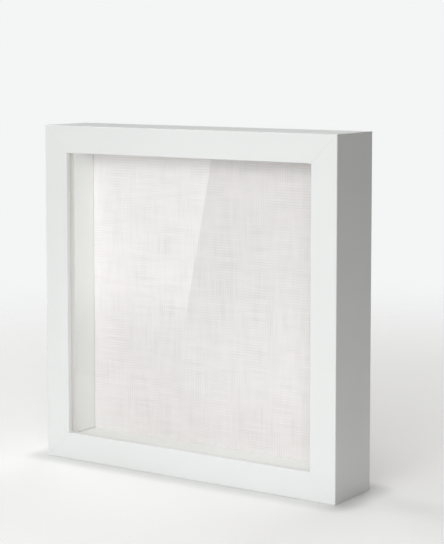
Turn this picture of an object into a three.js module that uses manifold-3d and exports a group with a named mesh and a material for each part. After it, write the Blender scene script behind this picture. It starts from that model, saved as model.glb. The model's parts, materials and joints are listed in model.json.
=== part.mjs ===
// Shadow box: a deep square display frame that stands on a shelf or hangs on a wall.
// Units are millimetres. +Z is up, the glazed front faces -Y, and the origin is the middle of the
// bounding box's underside. Everything is first laid out about the middle of the frame, with depth
// y = 0 on the front face, and the last group moves it all into place.
import * as THREE from "three";
import { mergeVertices } from "three/addons/utils/BufferGeometryUtils.js";
import Module from "manifold-3d";

const wasm = await Module();
wasm.setup();

// Driving dimensions.
const outer = 236; // outside width and height of the square frame
const frameDepth = 46; // front face to rear face of the mouldings
const faceWidth = 19; // white border seen from the front
const lipThick = 4; // moulding in front of the glass
const displaySize = 205; // clear width and height inside the spacers, nominally eight inches
const spacerThick = 2;
const glassThick = 2;
const linenThick = 0.6;
const padThick = 5;
const boardThick = 3;
const flapWidth = 15; // linen turned over onto the back of the board
const fit = 0.3; // gap kept between pieces that touch
const panelPlay = 0.4; // gap round the lift-out panel
const buttonThick = 1.2;
const buttonOffset = 55; // turn buttons' pivots, from the middle of each side
const hangerThick = 0.8;

// Half sizes and depths that follow from them.
const half = outer / 2;
const displayHalf = displaySize / 2;
const spacerHalf = displayHalf + spacerThick; // outside of the spacer ring
const rebateHalf = spacerHalf + fit; // inside of the mouldings behind the lip
const wallThick = half - rebateHalf; // moulding beside the rebate
const panelHalf = rebateHalf - panelPlay;
const coreHalf = panelHalf - linenThick - fit; // pad and board inside the linen
const glassFront = lipThick + fit;
const spacerFront = glassFront + glassThick + fit;
const linenBack = frameDepth; // the turned-over linen lies flush with the mouldings
const boardFront = linenBack - linenThick - fit - boardThick;
const padFront = boardFront - fit - padThick;
const linenFront = padFront - fit - linenThick;
const spacerDepth = linenFront - fit - spacerFront;
const hardwareBack = frameDepth + fit; // underside of the plates on the rear face
const pivotDepth = 7; // button pivots, in from the outside edge

// Fasteners.
const screw = { shank: 1.5, length: 10, head: 3.1, headHigh: 1.6 };
const nail = { shank: 0.9, length: 12, head: 2.2, headHigh: 0.7 };
const vNail = { wing: 5, thick: 0.8, depth: 12, sunk: 0.2, inner: 150.5, step: 6 };
const button = { pivotRadius: 5, tipRadius: 3.4, reach: 16, hole: screw.shank + 0.4 };
const hanger = { long: 45, high: 10, tab: 9, rise: 1.6, teeth: 9, toothDeep: 2.6, hole: nail.shank + 0.4 };
const screwBack = hardwareBack + buttonThick + fit + screw.headHigh; // rearmost point
const roundSides = 24;

// Finishes.
const finish = (name, color, roughness, metalness = 0) =>
  Object.assign(new THREE.MeshStandardMaterial({ color, roughness, metalness }), { name });
const lacquer = finish("white_lacquer", "#eceeed", 0.45);
const spacerPaint = finish("spacer_white", "#e6e5de", 0.6);
const clearGlass = Object.assign(finish("clear_glass", "#eef5f3", 0.03), { transparent: true, opacity: 0.25 });
const linenCloth = finish("linen", "#e9e5e2", 0.9);
const padCard = finish("pad_card", "#d9cfba", 0.9);
const hardboard = finish("hardboard", "#7a5638", 0.7);
const zincSteel = finish("zinc_steel", "#b9bcbf", 0.35, 1);
const pinSteel = finish("pin_steel", "#8d9093", 0.4, 1);

// Boolean work: three.js geometry to a manifold solid and back.
function solid(geometry) {
  const bare = geometry.clone();
  bare.deleteAttribute("normal");
  bare.deleteAttribute("uv");
  const merged = mergeVertices(bare, 1e-4);
  return new wasm.Manifold(
    new wasm.Mesh({
      numProp: 3,
      vertProperties: merged.attributes.position.array,
      triVerts: new Uint32Array(merged.index.array),
    }),
  );
}

function geometryOf(manifold) {
  const mesh = manifold.getMesh();
  const geometry = new THREE.BufferGeometry();
  geometry.setAttribute("position", new THREE.BufferAttribute(mesh.vertProperties, 3));
  geometry.setIndex(new THREE.BufferAttribute(mesh.triVerts, 1));
  geometry.computeVertexNormals();
  return geometry;
}

// Takes each cutter's shape out of a geometry.
function cut(geometry, cutters) {
  return geometryOf(cutters.reduce((left, c) => left.subtract(solid(c)), solid(geometry)));
}

function mesh(name, geometry, material, x = 0, y = 0, z = 0) {
  const made = new THREE.Mesh(geometry, material);
  made.name = name;
  made.position.set(x, y, z);
  return made;
}

// A slab between two depths, centred on x and z.
function slab(width, height, front, back) {
  return new THREE.BoxGeometry(width, back - front, height).translate(0, (front + back) / 2, 0);
}

// An outline in x and z, extruded in depth from front to back. Clockwise or not, it faces out.
function plate(shape, front, back) {
  const flat = new THREE.ExtrudeGeometry(shape, {
    depth: back - front,
    bevelEnabled: false,
    curveSegments: roundSides / 2,
  });
  return flat.rotateX(Math.PI / 2).translate(0, back, 0);
}

// A cylinder along the depth.
function rod(radius, front, back) {
  const body = new THREE.CylinderGeometry(radius, radius, back - front, roundSides);
  return body.translate(0, (front + back) / 2, 0);
}

// The moulding of one side, lying along x at the bottom of the frame, with both ends mitred.
function moulding() {
  const section = new THREE.Shape();
  section.moveTo(0, 0);
  section.lineTo(faceWidth, 0);
  section.lineTo(faceWidth, lipThick);
  section.lineTo(wallThick, lipThick);
  section.lineTo(wallThick, frameDepth);
  section.lineTo(0, frameDepth);
  section.closePath();
  const bar = new THREE.ExtrudeGeometry(section, { depth: outer, bevelEnabled: false });
  const at = bar.attributes.position;
  for (let i = 0; i < at.count; i++) {
    const inward = at.getX(i);
    const end = Math.sign(at.getZ(i) - half);
    const along = end * (half - inward - fit / Math.SQRT2);
    at.setXYZ(i, -along, at.getY(i), inward - half);
  }
  return bar;
}

// A V-shaped corner nail, its point towards the middle of the frame, lying along +x.
function vNailShape(grow) {
  const leg = (vNail.wing + grow) * Math.SQRT1_2;
  const thick = (vNail.thick / 2 + grow) * Math.SQRT2;
  const tip = (vNail.thick / 2 + grow) * Math.SQRT1_2;
  const shape = new THREE.Shape();
  shape.moveTo(-thick, 0);
  shape.lineTo(leg - tip, leg + tip);
  shape.lineTo(leg + tip, leg - tip);
  shape.lineTo(thick, 0);
  shape.lineTo(leg + tip, tip - leg);
  shape.lineTo(leg - tip, -leg - tip);
  shape.closePath();
  return shape;
}

function vNailAt(row, grow) {
  const back = grow ? frameDepth + 1 : frameDepth - vNail.sunk;
  const front = frameDepth - vNail.depth - grow;
  return plate(vNailShape(grow), front, back).translate(vNail.inner + row * vNail.step, 0, 0);
}

// A turn button: a round pivot end drawn out to a smaller round tip along +x, with its hole.
function buttonShape() {
  const { pivotRadius, tipRadius, reach, hole } = button;
  const tangent = Math.acos((pivotRadius - tipRadius) / reach);
  const shape = new THREE.Shape();
  shape.absarc(0, 0, pivotRadius, tangent, -tangent, false);
  shape.absarc(reach, 0, tipRadius, -tangent, tangent, false);
  shape.closePath();
  shape.holes.push(new THREE.Path().absarc(0, 0, hole, 0, 2 * Math.PI, true));
  return shape;
}

// A fastener driven in from behind: shank, and a low domed head turned on the lathe.
function fastener({ shank, length, head, headHigh }, headFront) {
  const profile = new THREE.Path();
  profile.moveTo(0, frameDepth - length);
  profile.lineTo(shank, frameDepth - length + shank);
  profile.lineTo(shank, headFront);
  profile.lineTo(head, headFront);
  profile.lineTo(head, headFront + headHigh * 0.4);
  profile.quadraticCurveTo(head * 0.9, headFront + headHigh, 0, headFront + headHigh);
  return new THREE.LatheGeometry(profile.getPoints(4), roundSides);
}

// The sawtooth hanger: a strip whose middle stands off the rear face, toothed along its lower edge.
function sawtooth() {
  const { long, high, tab, rise, teeth, toothDeep, hole } = hanger;
  const inner = long / 2 - tab;
  const strip = new THREE.Shape();
  strip.moveTo(-long / 2, 0);
  strip.lineTo(-inner, 0);
  strip.lineTo(-inner + rise, rise);
  strip.lineTo(inner - rise, rise);
  strip.lineTo(inner, 0);
  strip.lineTo(long / 2, 0);
  strip.lineTo(long / 2, hangerThick);
  strip.lineTo(inner + hangerThick / 2, hangerThick);
  strip.lineTo(inner - rise + hangerThick / 2, rise + hangerThick);
  strip.lineTo(-inner + rise - hangerThick / 2, rise + hangerThick);
  strip.lineTo(-inner - hangerThick / 2, hangerThick);
  strip.lineTo(-long / 2, hangerThick);
  strip.closePath();
  const bent = new THREE.ExtrudeGeometry(strip, { depth: high, bevelEnabled: false });
  bent.translate(0, hardwareBack, -high / 2);

  const pitch = (2 * (inner - rise) - 2) / teeth;
  const gullet = new THREE.Shape();
  gullet.moveTo(-pitch / 2, -1);
  gullet.lineTo(pitch / 2, -1);
  gullet.lineTo(0, toothDeep);
  gullet.closePath();
  const cutters = [];
  for (let i = 0; i < teeth; i++) {
    const across = (i - (teeth - 1) / 2) * pitch;
    cutters.push(plate(gullet, hardwareBack - 1, screwBack).translate(across, 0, -high / 2));
  }
  for (const side of [-1, 1]) {
    cutters.push(rod(hole, hardwareBack - 1, screwBack).translate((side * (long - tab)) / 2, 0, 0));
  }
  return cut(bent, cutters);
}

// The linen: a sheet over the front of the pad, down its four edges and 15 mm onto the board's back.
function linenCover() {
  const full = slab(2 * panelHalf, 2 * panelHalf, linenFront, linenBack);
  const inside = 2 * (panelHalf - linenThick);
  const window = 2 * (panelHalf - flapWidth);
  return cut(full, [
    slab(inside, inside, linenFront + linenThick, linenBack - linenThick),
    slab(window, window, linenBack - linenThick - 1, linenBack + 1),
  ]);
}

// One side of the frame, laid out at the bottom; the others are the same side turned about y.
function side(name, turns) {
  const group = new THREE.Group();
  group.rotation.y = (turns * Math.PI) / 2;
  const pivotZ = pivotDepth - half;
  const cutters = [];
  for (const corner of [-1, 1]) {
    for (const row of [0, 1]) {
      cutters.push(vNailAt(row, fit).rotateY(((2 + corner) * Math.PI) / 4));
    }
    cutters.push(
      rod(screw.shank + fit, frameDepth - screw.length - fit, frameDepth + 1).translate(
        corner * buttonOffset,
        0,
        pivotZ,
      ),
    );
  }
  if (name === "top") {
    for (const x of nailPlaces) {
      cutters.push(
        rod(nail.shank + fit, frameDepth - nail.length - fit, frameDepth + 1).translate(x, 0, pivotZ),
      );
    }
  }
  group.add(mesh(`${name}_moulding`, cut(moulding(), cutters), lacquer));

  // The top and bottom spacers run the full width, and the side ones stand between them.
  const upright = turns % 2 === 1;
  const spacerLong = upright ? displaySize - 2 * fit : 2 * spacerHalf;
  const strip = slab(spacerLong, spacerThick, spacerFront, spacerFront + spacerDepth);
  group.add(mesh(`${name}_spacer`, strip, spacerPaint, 0, 0, -displayHalf - spacerThick / 2));

  // Two turn buttons a side, at rest along the moulding with their tips towards its middle.
  for (const [number, x] of [-buttonOffset, buttonOffset].entries()) {
    const blade = plate(buttonShape(), hardwareBack, hardwareBack + buttonThick);
    const turned = mesh(`turn_button_${name}_${number + 1}`, blade, zincSteel, x, 0, pivotZ);
    turned.rotation.y = x > 0 ? Math.PI : 0;
    group.add(turned);
    const driven = fastener(screw, hardwareBack + buttonThick + fit);
    group.add(mesh(`button_screw_${name}_${number + 1}`, driven, zincSteel, x, 0, pivotZ));
  }
  return group;
}

// Nails of the hanger, which sits across the middle of the top moulding. The moulding is laid out
// upside down there, and the two places are alike.
const nailPlaces = [-1, 1].map((end) => (end * (hanger.long - hanger.tab)) / 2);

const box = new THREE.Group();
["bottom", "left", "top", "right"].forEach((name, turns) => box.add(side(name, turns)));

["bottom_left", "top_left", "top_right", "bottom_right"].forEach((name, turns) => {
  const corner = new THREE.Group();
  corner.rotation.y = Math.PI * (0.75 + turns / 2);
  for (const row of [0, 1]) {
    corner.add(mesh(`v_nail_${name}_${row + 1}`, vNailAt(row, 0), pinSteel));
  }
  box.add(corner);
});

box.add(
  mesh("glass_pane", slab(2 * spacerHalf, 2 * spacerHalf, glassFront, glassFront + glassThick), clearGlass),
  mesh("linen_cover", linenCover(), linenCloth),
  mesh("pin_pad", slab(2 * coreHalf, 2 * coreHalf, padFront, padFront + padThick), padCard),
  mesh("back_board", slab(2 * coreHalf, 2 * coreHalf, boardFront, boardFront + boardThick), hardboard),
);

const hangerZ = half - pivotDepth;
box.add(mesh("sawtooth_hanger", sawtooth(), zincSteel, 0, 0, hangerZ));
nailPlaces.forEach((x, i) => {
  const driven = fastener(nail, hardwareBack + hangerThick + fit);
  box.add(mesh(`hanger_nail_${i + 1}`, driven, zincSteel, x, 0, hangerZ));
});

box.position.set(0, -screwBack / 2, half);
const part = new THREE.Group();
part.add(box);
export default part;
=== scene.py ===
import json
import math
import random

import bmesh
import bpy
from mathutils import Matrix, Vector


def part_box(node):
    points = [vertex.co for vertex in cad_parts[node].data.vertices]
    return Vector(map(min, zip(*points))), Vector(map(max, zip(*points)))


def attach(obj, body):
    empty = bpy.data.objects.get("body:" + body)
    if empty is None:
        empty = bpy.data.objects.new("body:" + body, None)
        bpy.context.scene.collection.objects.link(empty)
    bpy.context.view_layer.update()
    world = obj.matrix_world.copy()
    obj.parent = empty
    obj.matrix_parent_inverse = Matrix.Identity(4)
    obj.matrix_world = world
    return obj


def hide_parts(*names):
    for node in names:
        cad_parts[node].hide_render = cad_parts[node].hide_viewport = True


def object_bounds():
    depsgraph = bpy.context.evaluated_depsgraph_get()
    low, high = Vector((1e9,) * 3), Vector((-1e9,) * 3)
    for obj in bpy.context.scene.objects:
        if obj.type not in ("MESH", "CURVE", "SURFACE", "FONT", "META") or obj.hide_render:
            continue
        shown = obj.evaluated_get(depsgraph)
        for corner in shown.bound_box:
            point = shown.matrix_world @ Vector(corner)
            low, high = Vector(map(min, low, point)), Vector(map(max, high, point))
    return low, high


# A white shadow box: a lacquered mitred frame, a glass front, a lined display space, a linen-faced
# back that lifts out, and the hardware behind. All in metres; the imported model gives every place.

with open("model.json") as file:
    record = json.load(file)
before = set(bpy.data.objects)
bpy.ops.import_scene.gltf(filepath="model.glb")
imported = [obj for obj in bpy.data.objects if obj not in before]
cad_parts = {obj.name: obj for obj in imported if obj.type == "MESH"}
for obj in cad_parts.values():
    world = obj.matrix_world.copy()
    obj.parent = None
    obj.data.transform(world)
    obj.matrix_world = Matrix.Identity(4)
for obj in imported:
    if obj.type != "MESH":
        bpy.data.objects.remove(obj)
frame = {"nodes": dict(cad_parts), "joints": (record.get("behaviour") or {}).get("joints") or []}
cadLow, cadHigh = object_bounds()
mm = 0.001
random.seed(8)

sides = ["bottom", "left", "top", "right"]  # each one is a quarter turn on from the last
touchGap = 0.3 * mm  # what the model leaves between pieces that touch
half = cadHigh.x  # half the frame's width, and so the height of its middle
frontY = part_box("bottom_moulding")[0].y
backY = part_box("bottom_moulding")[1].y
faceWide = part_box("bottom_moulding")[1].z
glassLow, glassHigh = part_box("glass_pane")
lipDeep = glassLow.y - touchGap - frontY
wallWide = half - glassHigh.x - touchGap  # moulding beside the rebate
joints = {joint["name"]: joint for joint in frame["joints"]}


def linear(hexCode):
    # an sRGB hex colour as Blender's linear RGBA
    channels = [int(hexCode[i : i + 2], 16) / 255 for i in (1, 3, 5)]
    return [c / 12.92 if c <= 0.04045 else ((c + 0.055) / 1.055) ** 2.4 for c in channels] + [1.0]


def addNode(tree, kind, inputs=None, **settings):
    # inputs go by name or number; a value that is a socket is linked, anything else is set
    node = tree.nodes.new("ShaderNode" + kind)
    for key, value in settings.items():
        setattr(node, key, value)
    for key, value in (inputs or {}).items():
        if isinstance(value, bpy.types.NodeSocket):
            tree.links.new(value, node.inputs[key])
        else:
            node.inputs[key].default_value = value
    return node


def newMaterial(name, **shader):
    # shader sets the Principled node's own sockets, with _ for each space in their names
    material = bpy.data.materials.new(name)
    material.use_nodes = True
    tree = material.node_tree
    surface = tree.nodes["Principled BSDF"]
    for key, value in shader.items():
        surface.inputs[key.replace("_", " ")].default_value = value
    return material, tree, surface


def turned(x, y, z, turns):
    # a point laid out at the bottom side, z counted from the frame's middle, moved to another side
    for _ in range(turns):
        x, z = z, -x
    return x, y, z + half


def meshFrom(name, points, faces, faceMaterials=None):
    mesh = bpy.data.meshes.new(name)
    mesh.from_pydata([tuple(p) for p in points], [], faces)
    if faceMaterials:
        mesh.polygons.foreach_set("material_index", faceMaterials)
    work = bmesh.new()
    work.from_mesh(mesh)
    bmesh.ops.remove_doubles(work, verts=work.verts, dist=1e-6)
    bmesh.ops.recalc_face_normals(work, faces=work.faces)
    work.to_mesh(mesh)
    work.free()
    return mesh


def smooth(mesh, degrees=32):
    mesh.shade_smooth()
    mesh.set_sharp_from_angle(angle=math.radians(degrees))
    return mesh


def place(name, mesh, body, nodes=(), materials=(), at=None):
    # a finished piece: its materials, its place, the body it rides on and the nodes it stands for
    thing = bpy.data.objects.new(name, mesh)
    bpy.context.scene.collection.objects.link(thing)
    if not mesh.materials:
        for material in materials:
            mesh.materials.append(material)
    if at is not None:
        thing.matrix_world = at
    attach(thing, body)
    if nodes:
        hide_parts(*nodes)
    return thing


def applied(thing):
    # bakes the modifiers into the mesh
    view = bpy.context.evaluated_depsgraph_get()
    view.update()
    mesh = bpy.data.meshes.new_from_object(thing.evaluated_get(view))
    thing.modifiers.clear()
    thing.data = mesh
    return mesh


def evenNormals(thing):
    # large flat faces keep flat shading beside their rounded edges
    modifier = thing.modifiers.new("even normals", "WEIGHTED_NORMAL")
    modifier.keep_sharp = True
    return thing


def roundedOutline(corners, steps=4):
    # corners are (across, deep, radius); each radius above 0 becomes an arc
    points = []
    for i, (across, deep, radius) in enumerate(corners):
        here = Vector((across, deep))
        before = (Vector(corners[i - 1][:2]) - here).normalized()
        after = (Vector(corners[(i + 1) % len(corners)][:2]) - here).normalized()
        if radius == 0:
            points.append(here)
            continue
        opening = before.angle(after) / 2
        centre = here + (before + after).normalized() * radius / math.sin(opening)
        start = here + before * radius / math.tan(opening) - centre
        end = here + after * radius / math.tan(opening) - centre
        first = math.atan2(start.y, start.x)
        sweep = math.remainder(math.atan2(end.y, end.x) - first, 2 * math.pi)
        angles = [first + sweep * k / steps for k in range(steps + 1)]
        points += [centre + radius * Vector((math.cos(a), math.sin(a))) for a in angles]
    return points


def softBox(name, low, high, radius, steps=3):
    # a board or pane with its arrises taken off
    work = bmesh.new()
    bmesh.ops.create_cube(work, size=1)
    for vert in work.verts:
        vert.co = [l + (c + 0.5) * (h - l) for l, c, h in zip(low, vert.co, high)]
    bmesh.ops.bevel(
        work, geom=work.edges[:], offset=radius, segments=steps, profile=0.5, affect="EDGES"
    )
    mesh = bpy.data.meshes.new(name)
    work.to_mesh(mesh)
    work.free()
    return smooth(mesh, 40)


def lathed(name, profile, steps=40):
    # (radius, depth) pairs turned round the y axis; the ends lie on it
    points, faces, rings = [], [], []
    for radius, deep in profile:
        count = steps if radius > 0 else 1
        rings.append(range(len(points), len(points) + count))
        for k in range(count):
            angle = 2 * math.pi * k / steps
            points.append((radius * math.cos(angle), deep, radius * math.sin(angle)))
    for one, two in zip(rings, rings[1:]):
        for k in range(steps):
            follow = k + 1
            here = [one[k % len(one)], one[follow % len(one)]]
            there = [two[follow % len(two)], two[k % len(two)]]
            faces.append(list(dict.fromkeys(here + there)))
    return meshFrom(name, points, [f for f in faces if len(f) > 2])


def makeWhiteLacquer():
    # Fibreboard, primed and sprayed with satin white lacquer: an even, slightly cool white, a broad
    # soft sheen, and the faint pebbling that a spray gun leaves.
    material, tree, surface = newMaterial(
        "satinWhiteLacquer", IOR=1.5, Coat_Weight=0.12, Coat_Roughness=0.3
    )
    spot = addNode(tree, "TexCoord").outputs["Object"]
    cloud = addNode(tree, "TexNoise", {"Vector": spot, "Scale": 22.0, "Detail": 3.0})
    tone = addNode(
        tree, "Mix", {0: cloud.outputs["Fac"], 6: linear("#e8eaea"), 7: linear("#ecefef")}, data_type="RGBA"
    )
    tree.links.new(tone.outputs[2], surface.inputs["Base Color"])
    sheen = addNode(tree, "MapRange", {0: cloud.outputs["Fac"], 3: 0.38, 4: 0.46})
    tree.links.new(sheen.outputs[0], surface.inputs["Roughness"])
    pebbleSize = 1.1 * mm  # spray pebbling is nearer 0.6 mm; drawn coarser so that it shows
    pebble = addNode(
        tree, "TexNoise", {"Vector": spot, "Scale": 1 / pebbleSize, "Detail": 1.5}
    )
    bump = addNode(tree, "Bump", {"Height": pebble.outputs["Fac"], "Strength": 0.12, "Distance": 0.05 * mm})
    tree.links.new(bump.outputs[0], surface.inputs["Normal"])
    return material


def makeRawFibreboard():
    # Medium-density fibreboard as sawn: tan, dusty and matt, with darker fibres, and a haze of white
    # overspray that fades in from the outside edge.
    material, tree, surface = newMaterial("sawnFibreboard", Roughness=0.9, IOR=1.47)
    spot = addNode(tree, "TexCoord").outputs["Object"]
    fibre = addNode(tree, "TexNoise", {"Vector": spot, "Scale": 1 / (0.9 * mm), "Detail": 4.0})
    blotch = addNode(tree, "TexNoise", {"Vector": spot, "Scale": 1 / (14 * mm), "Detail": 2.0})
    ramp = addNode(tree, "ValToRGB", {0: fibre.outputs["Fac"]})
    ramp.color_ramp.elements[0].position, ramp.color_ramp.elements[0].color = 0.32, linear("#94734e")
    ramp.color_ramp.elements[1].position, ramp.color_ramp.elements[1].color = 0.62, linear("#bd9c74")
    tone = addNode(
        tree,
        "Mix",
        {0: blotch.outputs["Fac"], 6: ramp.outputs[0], 7: linear("#b3946d")},
        data_type="RGBA",
    )
    parts = addNode(tree, "SeparateXYZ", {0: spot})
    up = addNode(tree, "Math", {0: parts.outputs["Z"], 1: half}, operation="SUBTRACT")
    upSize = addNode(tree, "Math", {0: up.outputs[0]}, operation="ABSOLUTE")
    acrossSize = addNode(tree, "Math", {0: parts.outputs["X"]}, operation="ABSOLUTE")
    out = addNode(tree, "Math", {0: upSize.outputs[0], 1: acrossSize.outputs[0]}, operation="MAXIMUM")
    ragged = addNode(
        tree, "Math", {0: blotch.outputs["Fac"], 1: 3 * mm, 2: out.outputs[0]}, operation="MULTIPLY_ADD"
    )
    haze = addNode(
        tree, "MapRange", {0: ragged.outputs[0], 1: half - 3.2 * mm, 2: half + 1.6 * mm, 3: 0.0, 4: 0.92}
    )
    hazed = addNode(
        tree, "Mix", {0: haze.outputs[0], 6: tone.outputs[2], 7: linear("#e6e7e4")}, data_type="RGBA"
    )
    tree.links.new(hazed.outputs[2], surface.inputs["Base Color"])
    bump = addNode(tree, "Bump", {"Height": fibre.outputs["Fac"], "Strength": 0.5, "Distance": 0.1 * mm})
    tree.links.new(bump.outputs[0], surface.inputs["Normal"])
    return material


def makeWrappedSpacer():
    # Board strips wrapped in white paper: a brighter, chalkier white than the lacquer, matt, with a
    # fine tooth.
    material, tree, surface = newMaterial("paperWrappedBoard", Roughness=0.72, IOR=1.45)
    spot = addNode(tree, "TexCoord").outputs["Object"]
    cloud = addNode(tree, "TexNoise", {"Vector": spot, "Scale": 1 / (18 * mm), "Detail": 3.0})
    tone = addNode(
        tree, "Mix", {0: cloud.outputs["Fac"], 6: linear("#f3f5f2"), 7: linear("#f7f9f7")}, data_type="RGBA"
    )
    tree.links.new(tone.outputs[2], surface.inputs["Base Color"])
    tooth = addNode(tree, "TexNoise", {"Vector": spot, "Scale": 1 / (0.7 * mm), "Detail": 3.0})
    bump = addNode(tree, "Bump", {"Height": tooth.outputs["Fac"], "Strength": 0.2, "Distance": 0.05 * mm})
    tree.links.new(bump.outputs[0], surface.inputs["Normal"])
    return material


def makeClearGlass():
    # Float glass, cut and seamed: colourless face on, mirror smooth, with a mild reflection.
    material, _, _ = newMaterial(
        "floatGlass", Base_Color=linear("#fdfefe"), Roughness=0.0, IOR=1.52, Transmission_Weight=1.0
    )
    return material


def makeLinen():
    # Off-white linen in plain weave: fine lines run both ways, partly from painted shade where the
    # threads part, plainer in some patches than others, because no two threads are alike and each one
    # swells and thins. Matt, with a trace of fuzz.
    material, tree, surface = newMaterial("wovenLinen", Roughness=0.92, IOR=1.46, Sheen_Weight=0.08)
    surface.inputs["Sheen Roughness"].default_value = 0.5
    threadApart = 1.9 * mm  # such cloth has about one a millimetre; drawn coarser so that it shows
    slubLong = 24 * mm
    patchWide = 22 * mm
    wander = 0.6 * mm  # how far a thread strays from straight
    cloth = addNode(tree, "UVMap", uv_map="clothPlace").outputs[0]
    parts = addNode(tree, "SeparateXYZ", {0: cloth})
    drift = addNode(tree, "TexNoise", {"Vector": cloth, "Scale": 1 / (40 * mm), "Detail": 1.0})
    waves, tops, dashes, gapShades = [], [], [], []
    for across, along in (("X", "Y"), ("Y", "X")):
        strayed = addNode(
            tree,
            "Math",
            {0: drift.outputs["Fac"], 1: wander, 2: parts.outputs[across]},
            operation="MULTIPLY_ADD",
        )
        count = addNode(tree, "Math", {0: strayed.outputs[0], 1: threadApart}, operation="DIVIDE")
        number = addNode(tree, "Math", {0: count.outputs[0]}, operation="FLOOR")
        far = addNode(tree, "Math", {0: number.outputs[0], 1: 7.31}, operation="MULTIPLY")
        run = addNode(tree, "Math", {0: parts.outputs[along], 1: slubLong}, operation="DIVIDE")
        spot = addNode(tree, "CombineXYZ", {0: far.outputs[0], 1: run.outputs[0], 2: 3.0 * len(dashes)})
        slub = addNode(tree, "TexNoise", {"Vector": spot.outputs[0], "Scale": 1.0, "Detail": 0.5})
        turn = addNode(tree, "Math", {0: count.outputs[0], 1: math.pi}, operation="MULTIPLY")
        wave = addNode(tree, "Math", {0: turn.outputs[0]}, operation="SINE")
        size = addNode(tree, "Math", {0: wave.outputs[0]}, operation="ABSOLUTE")
        top = addNode(tree, "Math", {0: size.outputs[0], 1: slub.outputs["Fac"]}, operation="MULTIPLY")
        # painted shade: the colour is darkened where the threads part, as shade falls there, and more so
        # where the cloth is beaten less tightly
        patch = addNode(
            tree,
            "TexNoise",
            {"Vector": cloth, "W": 9.0 * len(dashes), "Scale": 1 / patchWide, "Detail": 1.0},
            noise_dimensions="4D",
        )
        depth = addNode(tree, "MapRange", {0: patch.outputs["Fac"], 1: 0.35, 2: 0.65, 3: -0.02, 4: -0.085})
        opening = addNode(tree, "MapRange", {0: top.outputs[0], 1: 0.03, 2: 0.32, 3: 1.0, 4: 0.0})
        gap = addNode(
            tree, "Math", {0: opening.outputs[0], 1: depth.outputs[0], 2: 1.0}, operation="MULTIPLY_ADD"
        )
        waves.append(wave.outputs[0])
        tops.append(top.outputs[0])
        dashes.append(slub.outputs["Fac"])
        gapShades.append(gap.outputs[0])
    # each crossing shows whichever thread goes over
    over = addNode(tree, "Math", {0: waves[0], 1: waves[1]}, operation="MULTIPLY")
    side = addNode(tree, "MapRange", {0: over.outputs[0], 1: -0.2, 2: 0.2}).outputs[0]
    height = addNode(tree, "Mix", {0: side, 2: tops[0], 3: tops[1]})
    mixed = addNode(tree, "Math", {0: dashes[0], 1: dashes[1]}, operation="ADD")
    streak = addNode(tree, "MapRange", {0: mixed.outputs[0], 1: 0.7, 2: 1.3})
    tone = addNode(tree, "ValToRGB", {0: streak.outputs[0]})
    tone.color_ramp.elements[0].color = linear("#eeebec")
    tone.color_ramp.elements[1].color = linear("#f3f0f1")
    # painted shade where threads of either direction part, multiplied into the colour
    between = addNode(tree, "Math", {0: gapShades[0], 1: gapShades[1]}, operation="MULTIPLY")
    shaded = addNode(
        tree,
        "Mix",
        {0: 1.0, 6: tone.outputs[0], 7: between.outputs[0]},
        data_type="RGBA",
        blend_type="MULTIPLY",
    )
    tree.links.new(shaded.outputs[2], surface.inputs["Base Color"])
    bump = addNode(tree, "Bump", {"Height": height.outputs[0], "Strength": 0.2, "Distance": 0.12 * mm})
    tree.links.new(bump.outputs[0], surface.inputs["Normal"])
    return material


def makeHardboard():
    # Wet-process hardboard, rough side out: brown pressed fibre with the print of the wire screen it
    # was pressed on.
    material, tree, surface = newMaterial("pressedHardboard", Roughness=0.78, IOR=1.48)
    spot = addNode(tree, "TexCoord").outputs["Object"]
    parts = addNode(tree, "SeparateXYZ", {0: spot})
    wire = 2.4 * mm  # the screen's wires are about 1.4 mm apart; drawn coarser so that they show
    waves = []
    for axis in ("X", "Z"):
        turn = addNode(tree, "Math", {0: parts.outputs[axis], 1: math.pi / wire}, operation="MULTIPLY")
        wave = addNode(tree, "Math", {0: turn.outputs[0]}, operation="SINE")
        waves.append(addNode(tree, "Math", {0: wave.outputs[0]}, operation="ABSOLUTE").outputs[0])
    screen = addNode(tree, "Math", {0: waves[0], 1: waves[1]}, operation="MULTIPLY")
    fibre = addNode(tree, "TexNoise", {"Vector": spot, "Scale": 1 / (6 * mm), "Detail": 5.0})
    tone = addNode(tree, "ValToRGB", {0: fibre.outputs["Fac"]})
    tone.color_ramp.elements[0].position, tone.color_ramp.elements[0].color = 0.3, linear("#664830")
    tone.color_ramp.elements[1].position, tone.color_ramp.elements[1].color = 0.7, linear("#86633f")
    printed = addNode(tree, "MapRange", {0: screen.outputs[0], 1: 0.0, 2: 0.7, 3: 0.84, 4: 1.03})
    shaded = addNode(
        tree,
        "Mix",
        {0: 1.0, 6: tone.outputs[0], 7: printed.outputs[0]},
        data_type="RGBA",
        blend_type="MULTIPLY",
    )
    tree.links.new(shaded.outputs[2], surface.inputs["Base Color"])
    bump = addNode(tree, "Bump", {"Height": screen.outputs[0], "Strength": 0.7, "Distance": 0.25 * mm})
    fuzz = addNode(
        tree,
        "Bump",
        {"Height": fibre.outputs["Fac"], "Strength": 0.3, "Distance": 0.2 * mm, "Normal": bump.outputs[0]},
    )
    tree.links.new(fuzz.outputs[0], surface.inputs["Normal"])
    return material


def makePadCard():
    # Grey-brown paper-faced board: soft and matt with loose pulp fibres.
    material, tree, surface = newMaterial("pulpBoard", Roughness=0.9, IOR=1.45)
    spot = addNode(tree, "TexCoord").outputs["Object"]
    pulp = addNode(tree, "TexNoise", {"Vector": spot, "Scale": 1 / (1.6 * mm), "Detail": 5.0})
    tone = addNode(
        tree, "Mix", {0: pulp.outputs["Fac"], 6: linear("#b9ab90"), 7: linear("#d8ccb4")}, data_type="RGBA"
    )
    tree.links.new(tone.outputs[2], surface.inputs["Base Color"])
    bump = addNode(tree, "Bump", {"Height": pulp.outputs["Fac"], "Strength": 0.4, "Distance": 0.15 * mm})
    tree.links.new(bump.outputs[0], surface.inputs["Normal"])
    return material


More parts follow.
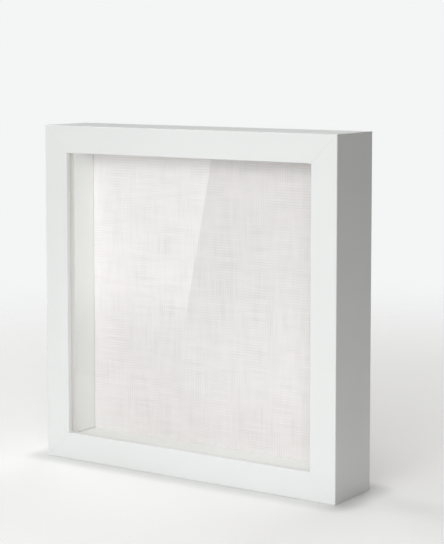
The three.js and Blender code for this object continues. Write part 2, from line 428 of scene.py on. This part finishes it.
def makeSteel(name, colour, roughness, streak):
    # Rolled or drawn steel, bright zinc plated or bare: softly mirrored, with faint streaks where it
    # is a little rougher.
    material, tree, surface = newMaterial(name, Base_Color=linear(colour), Metallic=1.0)
    spot = addNode(tree, "TexCoord").outputs["Object"]
    stretched = addNode(tree, "Mapping", {"Vector": spot, "Scale": (1.0, 1.0, streak)})
    rolled = addNode(
        tree, "TexNoise", {"Vector": stretched.outputs[0], "Scale": 1 / (1.4 * mm), "Detail": 3.0}
    )
    gloss = addNode(
        tree,
        "MapRange",
        {0: rolled.outputs["Fac"], 1: 0.3, 2: 0.7, 3: roughness * 0.8, 4: roughness * 1.35},
    )
    tree.links.new(gloss.outputs[0], surface.inputs["Roughness"])
    bump = addNode(tree, "Bump", {"Height": rolled.outputs["Fac"], "Strength": 0.12, "Distance": 0.03 * mm})
    tree.links.new(bump.outputs[0], surface.inputs["Normal"])
    return material


whiteLacquer = makeWhiteLacquer()
rawFibreboard = makeRawFibreboard()
wrappedSpacer = makeWrappedSpacer()
clearGlass = makeClearGlass()
linenCloth = makeLinen()
hardboard = makeHardboard()
padCard = makePadCard()
zincPlate = makeSteel("zincPlatedSteel", "#d3d6d8", 0.3, 8.0)
pinSteel = makeSteel("drawnSteel", "#9b9c9d", 0.38, 3.0)
print("materials made")


moulding = {
    "outerArris": 0.7 * mm,
    "innerArris": 0.5 * mm,
    "rearArris": 0.3 * mm,
    "jointGap": 0.03 * mm,  # the glued mitre, seen as a hairline
    "slotRoom": 0.12 * mm,  # round each V-nail
    "slotRunOut": 1 * mm,  # how far the slots' cutters pass the back
}


def makeSlotCutters():
    # the V-nails' own shapes, a little larger and run out of the back
    work = bmesh.new()
    for name in frame["nodes"]:
        if name.startswith("v_nail"):
            work.from_mesh(frame["nodes"][name].data)
    bmesh.ops.remove_doubles(work, verts=work.verts, dist=1e-6)
    bmesh.ops.recalc_face_normals(work, faces=work.faces)
    work.normal_update()
    for vert in work.verts:
        vert.co += vert.normal * moulding["slotRoom"]
        if vert.co.y > backY - moulding["slotRunOut"]:
            vert.co.y = backY + moulding["slotRunOut"]
    for face in work.faces:
        face.material_index = 1
    mesh = bpy.data.meshes.new("slotCutters")
    work.to_mesh(mesh)
    work.free()
    cutters = bpy.data.objects.new("slotCutters", mesh)
    bpy.context.scene.collection.objects.link(cutters)
    return cutters


def makeMoulding(side, turns, cutters):
    outer, inner, rear = moulding["outerArris"], moulding["innerArris"], moulding["rearArris"]
    deep = backY - frontY
    outline = roundedOutline(
        [
            (0, 0, outer),
            (faceWide, 0, inner),
            (faceWide, lipDeep, rear),
            (wallWide, lipDeep, 0),
            (wallWide, deep, rear),
            (0, deep, outer),
        ]
    )
    points, faces, count = [], [], len(outline)
    kinds = []  # 0 is lacquered, 1 is bare fibreboard
    for end in (-1, 1):
        for inward, back in outline:
            along = end * (half - inward - moulding["jointGap"] / math.sqrt(2))
            points.append(turned(along, frontY + back, inward - half, turns))
    for i in range(count):
        follow = (i + 1) % count
        faces.append((i, follow, follow + count, i + count))
        inward, back = (outline[i] + outline[follow]) / 2
        kinds.append(1 if back > lipDeep - rear and inward > 0.8 * outer else 0)
    faces += [tuple(range(count)), tuple(range(count, 2 * count))]
    kinds += [1, 1]
    mesh = smooth(meshFrom(side + "Moulding", points, faces, kinds))
    finishes = [whiteLacquer, rawFibreboard]
    bar = place(side + "Moulding", mesh, "frame", [side + "_moulding"], finishes)
    slots = bar.modifiers.new("slots", "BOOLEAN")
    slots.object, slots.solver = cutters, "EXACT"
    smooth(applied(bar))
    return evenNormals(bar)


slotCutters = makeSlotCutters()
for turns, side in enumerate(sides):
    makeMoulding(side, turns, slotCutters)
bpy.data.objects.remove(slotCutters)
for name, node in frame["nodes"].items():
    if name.startswith("v_nail"):
        node.data.materials.clear()
        node.data.materials.append(pinSteel)
print("mouldings made")


glass = {"arris": 0.25 * mm, "arrisSteps": 2}
spacer = {"arris": 0.45 * mm, "arrisSteps": 4}


def makeGlass():
    mesh = softBox("glassPane", glassLow, glassHigh, glass["arris"], glass["arrisSteps"])
    pane = evenNormals(place("glassPane", mesh, "frame", ["glass_pane"], [clearGlass]))
    # lamps and bounced light pass straight through, as they do through a thin pane
    pane.visible_shadow = False
    pane.visible_diffuse = False


def makeSpacer(side):
    low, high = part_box(side + "_spacer")
    mesh = softBox(side + "Spacer", low, high, spacer["arris"], spacer["arrisSteps"])
    return evenNormals(
        place(side + "Spacer", mesh, "frame", [side + "_spacer"], [wrappedSpacer])
    )


makeGlass()
for side in sides:
    makeSpacer(side)
print("glass and spacers made")


linen = {
    "thick": 0.6 * mm,
    "bend": 0.9 * mm,  # radius over the board's edges
    "flap": 15 * mm,
    "cells": 96,  # across the front
    "waver": 0.5 * mm,  # the cut edge at the back isn't quite straight
    "waverPoints": 14,  # along each cut edge
    "lap": 0.18 * mm,  # one flap lies over the next at each corner
    "lapReach": 9 * mm,
    "glueSink": 0.12 * mm,  # the flap's edge is glued down flat
    "cornerRound": 1.2 * mm,  # where the cloth is folded over the board's corner
    "nearCorner": [0, 0.4 * mm, 0.8 * mm, 1.2 * mm, 2 * mm],  # columns closer together there
    "bendSteps": 4,
    "edgeSteps": 4,
    "flapSteps": 8,
}
backBoard = {"arris": 0.4 * mm}


def makeLinenSheet():
    low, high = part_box("linen_cover")
    wide, bend, flap = high.x, linen["bend"], linen["flap"]
    nearCorner, reach = linen["nearCorner"], wide - bend
    # how far along the edge each column stands
    columns = [near - reach for near in nearCorner]
    for k in range(1, linen["cells"]):
        columns.append((2 * k / linen["cells"] - 1) * (reach - nearCorner[-1]))
    columns += [reach - near for near in reversed(nearCorner)]
    shares = [c / reach for c in columns]
    # the way round the edge: (inward, deep, length of cloth so far)
    way = [(bend, low.y, 0.0)]
    bends, edges, flaps = linen["bendSteps"], linen["edgeSteps"], linen["flapSteps"]
    quarter = [math.pi / 2 * k / bends for k in range(1, bends + 1)]
    for a in quarter:
        way.append((bend * (1 - math.sin(a)), low.y + bend * (1 - math.cos(a)), bend * a))
    wall, start = high.y - low.y - 2 * bend, way[-1][2]
    for k in range(1, edges + 1):
        way.append((0.0, low.y + bend + wall * k / edges, start + wall * k / edges))
    start = way[-1][2]
    for a in quarter:
        way.append((bend * (1 - math.cos(a)), high.y - bend * (1 - math.sin(a)), start + bend * a))
    run, start = flap - bend, way[-1][2]
    for k in range(1, flaps + 1):
        way.append((bend + run * k / flaps, high.y, start + run * k / flaps))

    points, faces, cloth = [], [], []

    def addGrid(rows):
        # rows of (point, cloth place); faces join each row to the next
        first, across = len(points), len(rows[0])
        for row in rows:
            points.extend(p for p, _ in row)
            cloth.extend(c for _, c in row)
        for r in range(len(rows) - 1):
            for c in range(across - 1):
                a = first + r * across + c
                faces.append((a, a + 1, a + across + 1, a + across))

    addGrid([[((x, low.y, z + half), (x, z)) for x in columns] for z in columns])
    for turns in range(4):
        waver = [random.uniform(-1, 1) for _ in range(linen["waverPoints"])]
        rows = []
        for inward, deep, length in way:
            row = []
            for share in shares:
                x, z = share * (wide - inward), inward - wide
                inFlap = max(0.0, (inward - bend) / run) if deep > high.y - 0.1 * mm else 0.0
                spot = (share + 1) / 2 * (len(waver) - 1.001)
                lean = waver[int(spot)] * (1 - spot % 1) + waver[int(spot) + 1] * (spot % 1)
                z += inFlap**2 * lean * linen["waver"] * (1 - share**8)
                nearMitre = (1 - abs(share)) * wide
                lap = 0.0
                if turns % 2 == 0 and inFlap > 0 and nearMitre > 0.2 * mm:
                    lap = linen["lap"] * max(0.0, 1 - nearMitre / linen["lapReach"])
                sink = linen["glueSink"] * inFlap * (1 + 0.6 * lean)
                flat = (share * (wide - inward), -(reach + length))
                for _ in range(turns):
                    flat = (flat[1], -flat[0])
                row.append((turned(x, deep + lap - sink, z, turns), flat))
            rows.append(row)
        addGrid(rows)

    mesh = bpy.data.meshes.new("linenSheet")
    mesh.from_pydata(points, [], faces)
    places = mesh.uv_layers.new(name="clothPlace")
    for loop in mesh.loops:
        places.data[loop.index].uv = cloth[loop.vertex_index]
    work = bmesh.new()
    work.from_mesh(mesh)
    roundOff = linen["cornerRound"]
    for vert in work.verts:
        dx, dz = abs(vert.co.x) - (wide - roundOff), abs(vert.co.z - half) - (wide - roundOff)
        if dx > 0 and dz > 0:
            shrink = max(dx, dz) / math.hypot(dx, dz)
            vert.co.x = math.copysign(wide - roundOff + dx * shrink, vert.co.x)
            vert.co.z = half + math.copysign(wide - roundOff + dz * shrink, vert.co.z - half)
    bmesh.ops.remove_doubles(work, verts=work.verts, dist=1e-6)
    bmesh.ops.recalc_face_normals(work, faces=work.faces)
    work.to_mesh(mesh)
    work.free()
    sheet = place("linenSheet", mesh, "back_panel", ["linen_cover"], [linenCloth])
    thicken = sheet.modifiers.new("thicken", "SOLIDIFY")
    thicken.thickness, thicken.offset = linen["thick"], -1
    applied(sheet)
    smooth(sheet.data, 60)
    return sheet


def makeBackBoard():
    low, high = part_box("back_board")
    mesh = softBox("backBoard", low, high, backBoard["arris"])
    return evenNormals(place("backBoard", mesh, "back_panel", ["back_board"], [hardboard]))


makeBackBoard()
makeLinenSheet()
pad = frame["nodes"]["pin_pad"]
pad.data.materials.clear()
pad.data.materials.append(padCard)
print("back panel made")


turnButton = {
    "pivotRadius": 5 * mm,
    "tipRadius": 3.4 * mm,
    "reach": 16 * mm,
    "hole": 1.9 * mm,
    "roll": 0.32 * mm,  # edges rolled over by the punch
    "around": 72,
}
screw = {
    "core": 1.05 * mm,
    "crest": 1.5 * mm,
    "pitch": 1.1 * mm,
    "length": 10 * mm,
    "tipRadius": 0.12 * mm,
    "headRadius": 3.1 * mm,
    "recessWide": 0.62 * mm,
    "recessLong": 1.75 * mm,
    "recessDeep": 1.1 * mm,
    "recessAbove": 0.6 * mm,  # how far the driver's tip reaches out of the head
    "footLong": 0.45,  # of the tip's length and width, at the foot of the recess
    "footWide": 0.6,
    "around": 24,
    "ringsPerTurn": 8,
    "taperTurns": 1.6,  # of thread, in from the point
    "point": 1.2 * mm,
    # the head's outline, from its underside up: shares of its radius and its height
    "headOutline": [
        (1.0, 0.0),
        (1.03, 0.12),
        (1.0, 0.3),
        (0.93, 0.55),
        (0.8, 0.76),
        (0.6, 0.9),
        (0.35, 0.97),
        (0.12, 1.0),
    ],
}
nail = {
    "shank": 0.9 * mm,
    "length": 12 * mm,
    "headRadius": 2.2 * mm,
    "headHigh": 0.7 * mm,
    "pointFrom": 0.6 * mm,  # the point starts this far short of the length
    "pointPast": 1.5 * mm,  # and ends this far past it
    # the head's outline, from its underside up: shares of its radius and its height
    "headOutline": [(0.96, 0), (1.0, 0.25), (0.97, 0.6), (0.85, 0.85), (0.5, 1.0), (0, 1.02)],
}
hanger = {
    "tab": 9 * mm,  # flat end, nailed down
    "rise": 1.6 * mm,  # how far the middle stands off the wood
    "thick": 0.8 * mm,
    "teeth": 9,
    "toothDeep": 2.6 * mm,
    "plainEnd": 1 * mm,  # edge with no teeth at either end of the raised stretch
    "notchHalf": 0.36,  # of the teeth's pitch
    "easedEdge": 0.14 * mm,
    # stations along the strip, (across, share of the rise), from the foot and the top of the bend
    "bendFoot": [(0.9 * mm, 0), (0.35 * mm, 0.12), (-0.1 * mm, 0.32)],
    "bendTop": [(0.1 * mm, 0.68), (-0.35 * mm, 0.88), (-0.9 * mm, 1.0)],
    "endCell": 0.4 * mm,
}


def makeButtonMesh(thick):
    # the outline as its punch cut it, with the screw hole, swept through a rolled-edge section
    pivot, tip, reach = turnButton["pivotRadius"], turnButton["tipRadius"], turnButton["reach"]
    tangent = math.acos((pivot - tip) / reach)
    rim = []
    third = turnButton["around"] // 3
    for k in range(2 * third):
        angle = tangent + (2 * math.pi - 2 * tangent) * k / (2 * third - 1)
        rim.append(Vector((pivot * math.cos(angle), pivot * math.sin(angle))))
    for k in range(third):
        angle = -tangent + 2 * tangent * k / (third - 1)
        rim.append(Vector((reach + tip * math.cos(angle), tip * math.sin(angle))))
    roll = turnButton["roll"]
    section = []  # (share of the way from hole to rim, inset from the nearer edge, depth)
    for k in range(4):
        a = math.pi / 2 * k / 3
        section.append((1, roll * (1 - math.cos(a)), thick - roll * (1 - math.sin(a))))
    for k in range(4):
        a = math.pi / 2 * (1 - k / 3)
        section.append((0, roll * (1 - math.cos(a)), thick - roll * (1 - math.sin(a))))
    section += [(0, 0.0, 0.0), (1, 0.0, 0.0)]
    points, faces, rings = [], [], len(section)
    for edge in rim:
        toward = edge.normalized()
        hole = toward * turnButton["hole"]
        for share, inset, deep in section:
            spot = edge - toward * inset if share else hole + toward * inset
            points.append((spot.x, deep, spot.y))
    for i in range(len(rim)):
        for j in range(rings):
            a, b = i * rings, (i + 1) % len(rim) * rings
            faces.append((a + j, a + (j + 1) % rings, b + (j + 1) % rings, b + j))
    return smooth(meshFrom("turnButton", points, faces), 35)


def crossCutter():
    # a crosshead driver's tip: a plus-shaped plug that narrows as it goes in
    points = []
    mouth = (screw["recessAbove"], 1.0, 1.0)
    foot = (-screw["recessDeep"], screw["footLong"], screw["footWide"])
    for y, longShare, wideShare in (mouth, foot):
        long, wide = screw["recessLong"] * longShare, screw["recessWide"] * wideShare / 2
        for turn in range(4):
            cos, sin = round(math.cos(turn * math.pi / 2)), round(math.sin(turn * math.pi / 2))
            for a, b in ((long, -wide), (long, wide), (wide, wide)):
                points.append((a * cos - b * sin, y, a * sin + b * cos))
    faces = [tuple(range(12)), tuple(range(12, 24))]
    faces += [(k, (k + 1) % 12, (k + 1) % 12 + 12, k + 12) for k in range(12)]
    cutter = bpy.data.objects.new("crossCutter", meshFrom("crossCutter", points, faces))
    bpy.context.scene.collection.objects.link(cutter)
    return cutter


def makeScrewMesh(headHigh):
    # y = 0 under the head; the thread winds up the shank behind it
    steps, head = screw["around"], screw["headOutline"]
    rings = int(screw["length"] / screw["pitch"] * screw["ringsPerTurn"])
    widest = max(radius for radius, _ in head)
    points, faces = [(0, -screw["length"] - screw["point"], 0)], []
    for r in range(rings + 1):
        deep = -screw["length"] + screw["length"] * r / rings
        taper = min(1.0, r / (screw["taperTurns"] * screw["ringsPerTurn"]))
        for k in range(steps):
            angle = 2 * math.pi * k / steps
            phase = (deep / screw["pitch"] - k / steps) % 1
            ridge = max(0.0, 1 - abs(phase - 0.5) * 4) if r < rings else 0.0
            radius = (screw["core"] + (screw["crest"] - screw["core"]) * ridge) * taper
            radius = max(radius, screw["tipRadius"])
            points.append((radius * math.cos(angle), deep, radius * math.sin(angle)))
    for radius, high in head:
        for k in range(steps):
            angle = 2 * math.pi * k / steps
            out = radius * screw["headRadius"] / widest
            points.append((out * math.cos(angle), high * headHigh, out * math.sin(angle)))
    points.append((0, headHigh, 0))
    for r in range(rings + len(head)):
        for k in range(steps):
            a, b = 1 + r * steps, 1 + (r + 1) * steps
            faces.append((a + k, a + (k + 1) % steps, b + (k + 1) % steps, b + k))
    last, final = 1 + (rings + len(head)) * steps, len(points) - 1
    for k in range(steps):
        faces.append((0, 1 + (k + 1) % steps, 1 + k))
        faces.append((final, last + k, last + (k + 1) % steps))
    mesh = meshFrom("buttonScrew", points, faces)
    cutter = crossCutter()
    cutter.matrix_world = Matrix.Translation((0, headHigh, 0))
    blank = bpy.data.objects.new("screwBlank", mesh)
    bpy.context.scene.collection.objects.link(blank)
    recess = blank.modifiers.new("recess", "BOOLEAN")
    recess.object, recess.solver = cutter, "EXACT"
    made = smooth(applied(blank), 35)
    bpy.data.objects.remove(blank)
    bpy.data.objects.remove(cutter)
    return made


def makeNailMesh():
    # y = 0 under the head; a flat head, slightly domed, and a blunt point
    shank, head, high = nail["shank"], nail["headRadius"], nail["headHigh"]
    tip, start = -nail["length"] - nail["pointPast"], -nail["length"] + nail["pointFrom"]
    profile = [(0, tip), (shank, start), (shank, 0)]
    profile += [(head * out, high * up) for out, up in nail["headOutline"]]
    return smooth(lathed("hangerNail", profile), 35)


def makeHanger():
    # a strip whose middle stands off the wood, bent on two radii, and notched along its lower edge
    low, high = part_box("sawtooth_hanger")
    thick, rise, tab = hanger["thick"], hanger["rise"], hanger["tab"]
    inner = high.x - tab
    flat = inner - rise
    pitch = 2 * (flat - hanger["plainEnd"]) / hanger["teeth"]
    notch = hanger["notchHalf"] * pitch
    stations = [(high.x, 0), (high.x - hanger["endCell"], 0)]
    stations += [(inner + x, lift) for x, lift in hanger["bendFoot"]]
    stations.append((inner - rise / 2, 0.5))
    stations += [(flat + x, lift) for x, lift in hanger["bendTop"]]
    xs = [(-x, lift) for x, lift in stations]
    for tooth in range(hanger["teeth"]):
        centre = (tooth - (hanger["teeth"] - 1) / 2) * pitch
        xs += [(centre - notch, 1.0), (centre, 1.0), (centre + notch, 1.0)]
    xs += [(x, lift) for x, lift in reversed(stations)]
    columns = []
    for i, (x, lift) in enumerate(xs):
        before, after = xs[max(i - 1, 0)], xs[min(i + 1, len(xs) - 1)]
        lean = Vector(((after[1] - before[1]) * rise, -(after[0] - before[0]))).normalized()
        columns.append((x, low.y + thick / 2 + lift * rise, -lean))
    points, faces = [], []
    shares = [0.0, 0.3, 0.5, 0.7, 1.0]
    for i, (x, deep, out) in enumerate(columns):
        tooth = (i - len(stations)) % 3 == 1 and len(stations) <= i < len(columns) - len(stations)
        foot = low.z + (hanger["toothDeep"] if tooth else 0)
        for sign in (-1, 1):
            for share in shares:
                z = foot + (high.z - foot) * share
                points.append((x + out.x * sign * thick / 2, deep + out.y * sign * thick / 2, z))
    rows = 2 * len(shares)
    loop = list(range(len(shares))) + list(range(rows - 1, len(shares) - 1, -1))
    for i in range(len(columns) - 1):
        a, b = i * rows, (i + 1) * rows
        for j in range(rows):
            p, q = loop[j], loop[(j + 1) % rows]
            faces.append((a + p, a + q, b + q, b + p))
    end = (len(columns) - 1) * rows
    for start in (0, end):
        n = len(shares)
        for j in range(n - 1):
            faces.append((start + j, start + j + 1, start + n + j + 1, start + n + j))
    mesh = meshFrom("sawtoothHanger", points, faces)
    thing = place("sawtoothHanger", mesh, "frame", ["sawtooth_hanger"], [zincPlate])
    edges = thing.modifiers.new("edges", "BEVEL")
    edges.width, edges.segments = hanger["easedEdge"], 2
    edges.angle_limit = math.radians(50)
    smooth(applied(thing), 35)
    return evenNormals(thing)


def makeHardware():
    plateLow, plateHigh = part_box("turn_button_bottom_1")
    plateFront, plateThick = plateLow.y, plateHigh.y - plateLow.y
    headFront = plateHigh.y + touchGap
    buttonMesh, screwMesh = makeButtonMesh(plateThick), makeScrewMesh(cadHigh.y - headFront)
    for side in sides:
        for number in ("1", "2"):
            tail = side + "_" + number
            pivot = Vector(joints["button_" + tail + "_turn"]["pos_m"])
            low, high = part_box("turn_button_" + tail)
            toTip = (low + high) / 2 - pivot
            lie = Matrix.Rotation(math.atan2(-toTip.z, toTip.x), 4, "Y")
            at = Matrix.Translation((pivot.x, plateFront, pivot.z)) @ lie
            label = side.capitalize() + number
            evenNormals(
                place(
                    "turnButton" + label,
                    buttonMesh,
                    "button_" + tail,
                    ["turn_button_" + tail],
                    [zincPlate],
                    at,
                )
            )
            drive = Matrix.Rotation(random.uniform(0, math.pi / 2), 4, "Y")
            at = Matrix.Translation((pivot.x, headFront, pivot.z)) @ drive
            place(
                "buttonScrew" + label,
                screwMesh,
                "frame",
                ["button_screw_" + tail],
                [zincPlate],
                at,
            )
    makeHanger()
    nailMesh = makeNailMesh()
    for number in ("1", "2"):
        low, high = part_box("hanger_nail_" + number)
        at = Matrix.Translation(((low.x + high.x) / 2, high.y - nail["headHigh"], (low.z + high.z) / 2))
        place(
            "hangerNail" + number,
            nailMesh,
            "frame",
            ["hanger_nail_" + number],
            [zincPlate],
            at,
        )


makeHardware()
print("hardware made")


camera = {
    "place": Vector((626.3 * mm, frontY - 888.3 * mm, 287.2 * mm)),
    "turn": math.radians(33.8),  # to the left of straight on
    "down": math.radians(4.81),
    "lens": 108.5,
    "shift": -0.151,  # lets the camera tip down less, so the uprights stay nearly upright
}


def makeCamera():
    data = bpy.data.cameras.new("camera")
    data.lens, data.shift_y = camera["lens"], camera["shift"]
    data.clip_start, data.clip_end = 0.01, 50
    thing = bpy.data.objects.new("camera", data)
    thing.location = camera["place"]
    thing.rotation_euler = (math.pi / 2 - camera["down"], 0, camera["turn"])
    bpy.context.scene.collection.objects.link(thing)
    bpy.context.scene.camera = thing


paleFloor = {
    "radius": 1.3,
    "around": 96,
    "fadeFrom": 0.2,
    "fadeTo": 1.0,
    "colour": "#e8e9e9",
    # the floor's glow stands for light from all round, not a lamp
    "glow": 0.2,
    # width of the painted shadow beside the box, where the glow is held down
    "paintedShadowBand": 24 * mm,  # how far out the box keeps the glow down
}


def makeFloor():
    # a pale floor that fades into the background, so that no edge shows
    steps, rim = paleFloor["around"], []
    for k in range(steps):
        angle = 2 * math.pi * k / steps
        rim.append((paleFloor["radius"] * math.cos(angle), paleFloor["radius"] * math.sin(angle), 0))
    mesh = bpy.data.meshes.new("floor")
    mesh.from_pydata(rim, [], [tuple(range(steps))])
    material = bpy.data.materials.new("paleFloor")
    material.use_nodes = True
    tree = material.node_tree
    surface = tree.nodes["Principled BSDF"]
    surface.inputs["Base Color"].default_value = linear(paleFloor["colour"])
    surface.inputs["Roughness"].default_value = 0.9
    surface.inputs["Emission Color"].default_value = linear("#ffffff")
    spot = addNode(tree, "TexCoord").outputs["Object"]
    away = addNode(tree, "VectorMath", {0: spot}, operation="LENGTH")
    # the glow stands for light from all round; beside the box it fades to nothing, a painted shadow where
    # the box would keep that light off the floor
    middle = Vector((0, (frontY + backY) / 2, 0))
    fromMiddle = addNode(tree, "VectorMath", {0: spot, 1: middle}, operation="SUBTRACT")
    outward = addNode(tree, "VectorMath", {0: fromMiddle.outputs[0]}, operation="ABSOLUTE")
    foot = Vector((half, (backY - frontY) / 2, 1))
    past = addNode(tree, "VectorMath", {0: outward.outputs[0], 1: foot}, operation="SUBTRACT")
    beside = addNode(tree, "VectorMath", {0: past.outputs[0], 1: (0, 0, 0)}, operation="MAXIMUM")
    gap = addNode(tree, "VectorMath", {0: beside.outputs[0]}, operation="LENGTH")
    glow = addNode(
        tree,
        "MapRange",
        {0: gap.outputs["Value"], 1: 0.0, 2: paleFloor["paintedShadowBand"], 3: 0.0, 4: paleFloor["glow"]},
        interpolation_type="SMOOTHERSTEP",
    )
    tree.links.new(glow.outputs[0], surface.inputs["Emission Strength"])
    fade = addNode(
        tree,
        "MapRange",
        {0: away.outputs["Value"], 1: paleFloor["fadeFrom"], 2: paleFloor["fadeTo"]},
        interpolation_type="SMOOTHSTEP",
    )
    clear = addNode(tree, "BsdfTransparent")
    mixed = addNode(tree, "MixShader", {0: fade.outputs[0], 1: surface.outputs[0], 2: clear.outputs[0]})
    tree.links.new(mixed.outputs[0], tree.nodes["Material Output"].inputs["Surface"])
    mesh.materials.append(material)
    floor = bpy.data.objects.new("floor", mesh)
    floor.visible_glossy = False
    bpy.context.scene.collection.objects.link(floor)


lamps = {
    # each is a square softbox aimed at the middle of the box: metres and watts
    "frontRight": {"place": (0.9, -1.6, 0.7), "size": 1.0, "power": 11.9, "colour": "#ffffff"},
    "frontNear": {"place": (0.1, -0.8, 0.38), "size": 0.25, "power": 2.2, "colour": "#ffffff"},
    "overheadFront": {"place": (0.0, -0.8, 1.5), "size": 1.2, "power": 5.2, "colour": "#ffffff"},
    "overheadLeft": {"place": (-1.2, 0.0, 1.3), "size": 1.2, "power": 10.8, "colour": "#ffffff"},
    "back": {"place": (-0.3, 1.2, 1.5), "size": 0.8, "power": 8.4, "colour": "#ffffff"},
}
unmirrored = ["frontRight", "frontNear"]  # these would burn out the box's top as seen from behind


def makeLamps():
    for name, lamp in lamps.items():
        data = bpy.data.lights.new(name, "AREA")
        data.shape, data.size = "SQUARE", lamp["size"]
        data.energy, data.color = lamp["power"], linear(lamp["colour"])[:3]
        thing = bpy.data.objects.new(name, data)
        thing.visible_camera = False
        thing.visible_glossy = name not in unmirrored
        thing.location = lamp["place"]
        aim = Vector((0, 0, half)) - Vector(lamp["place"])
        thing.rotation_euler = aim.to_track_quat("-Z", "Y").to_euler()
        bpy.context.scene.collection.objects.link(thing)


studio = {
    "backdrop": "#f4f5f5",  # what the camera sees behind everything
    "inGloss": 0.35,  # what shiny surfaces mirror
    "ambient": (0.045, 0.034, 0.02, 1),  # a trace of warm light in the shadows
}


def makeWorld():
    world = bpy.data.worlds.new("studio")
    world.use_nodes = True
    tree = world.node_tree
    tree.nodes.clear()
    path = addNode(tree, "LightPath")
    mirrored = [studio["inGloss"]] * 3 + [1]
    room = addNode(
        tree,
        "Mix",
        {0: path.outputs["Is Glossy Ray"], 6: studio["ambient"], 7: mirrored},
        data_type="RGBA",
    )
    glow = addNode(
        tree,
        "Mix",
        {0: path.outputs["Is Camera Ray"], 6: room.outputs[2], 7: linear(studio["backdrop"])},
        data_type="RGBA",
    )
    shade = addNode(tree, "Background", {"Color": glow.outputs[2]})
    out = addNode(tree, "OutputWorld")
    tree.links.new(shade.outputs[0], out.inputs["Surface"])
    bpy.context.scene.world = world


reflector = {
    # a lit card mirrored in the glass, given by where its outline is seen on the pane, in (x, z)
    "edgeTop": (24.5 * mm, 236 * mm),
    "edgeFoot": (-10.5 * mm, 60 * mm),
    "farSide": -150 * mm,
    "fullAbove": 136 * mm,
    "goneBelow": 82 * mm,
    "away": 2.2,
    "glow": 2.3,
    "rows": 24,
}


def makeReflector():
    eye, mirror = camera["place"], glassLow.y
    ghost = Vector((eye.x, 2 * mirror - eye.y, eye.z))  # the camera as mirrored by the pane
    sight = (Vector((0, mirror, half)) - ghost).normalized()
    stand = Vector((0, mirror, half)) + sight * reflector["away"]
    rows, points, faces, glows = reflector["rows"], [], [], []
    topX, topZ = reflector["edgeTop"]
    footX, footZ = reflector["edgeFoot"]
    for r in range(rows + 1):
        z = footZ + (topZ - footZ) * r / rows
        edge = footX + (topX - footX) * r / rows
        level = (z - reflector["goneBelow"]) / (reflector["fullAbove"] - reflector["goneBelow"])
        level = min(1.0, max(0.0, level))
        for x in (reflector["farSide"], edge):
            ray = Vector((x, mirror, z)) - ghost
            points.append(ghost + ray * ((stand - ghost).dot(sight) / ray.dot(sight)))
            glows.append(level * level * (3 - 2 * level))
    for r in range(rows):
        faces.append((2 * r, 2 * r + 1, 2 * r + 3, 2 * r + 2))
    mesh = bpy.data.meshes.new("reflector")
    mesh.from_pydata([tuple(p) for p in points], [], faces)
    mesh.attributes.new("glow", "FLOAT", "POINT").data.foreach_set("value", glows)
    material = bpy.data.materials.new("litCard")
    material.use_nodes = True
    tree = material.node_tree
    tree.nodes.clear()
    level = addNode(tree, "Attribute", attribute_name="glow")
    strength = addNode(tree, "Math", {0: level.outputs["Fac"], 1: reflector["glow"]}, operation="MULTIPLY")
    light = addNode(tree, "Emission", {"Strength": strength.outputs[0]})
    out = addNode(tree, "OutputMaterial")
    tree.links.new(light.outputs[0], out.inputs["Surface"])
    mesh.materials.append(material)
    card = bpy.data.objects.new("reflector", mesh)
    card.visible_camera = card.visible_diffuse = card.visible_shadow = card.visible_transmission = False
    bpy.context.scene.collection.objects.link(card)


makeCamera()
makeFloor()
makeLamps()
makeWorld()
makeReflector()
bpy.context.scene.view_settings.view_transform = "Standard"
print("camera, floor and lights made")
